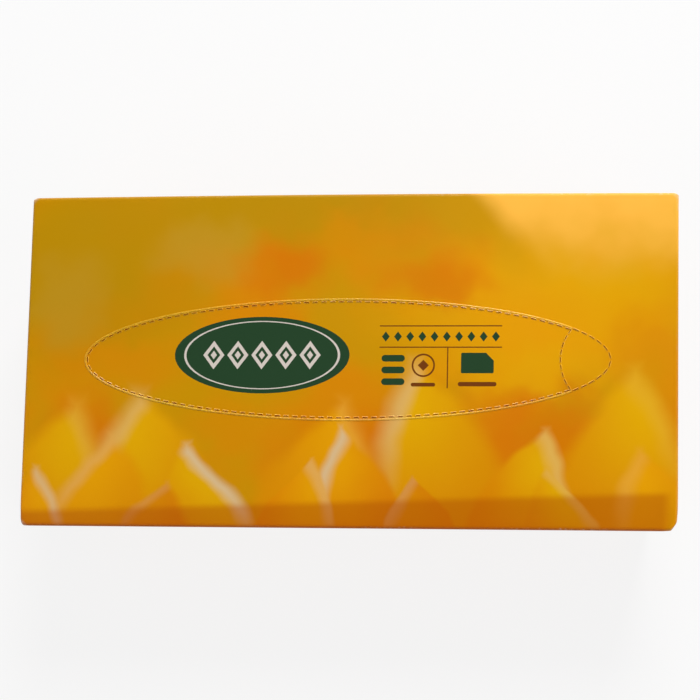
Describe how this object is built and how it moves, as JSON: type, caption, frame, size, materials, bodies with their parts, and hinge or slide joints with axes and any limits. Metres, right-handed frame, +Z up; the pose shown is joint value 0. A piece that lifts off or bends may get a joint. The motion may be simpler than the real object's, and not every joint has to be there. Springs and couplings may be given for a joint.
{
  "type": "facial tissue box",
  "caption": "Sealed flat carton of facial tissues with glued end flaps, one long seam and a perforated oval tear-out with a pull tab in its top panel.",
  "frame": {"origin": "middle of the base the carton lies on", "axes": "+X along the carton towards the pull tab, +Y across it towards the rear wall with the glued seam, +Z up through the panel with the tear-out"},
  "size_m": [0.226, 0.115, 0.0601],
  "materials": {
    "printed_board": "printed folding box board, golden yellow and orange, semi-gloss water-based varnish"
  },
  "bodies": {
    "root": {"tissue_carton": "printed_board"}
  },
  "joints": []
}
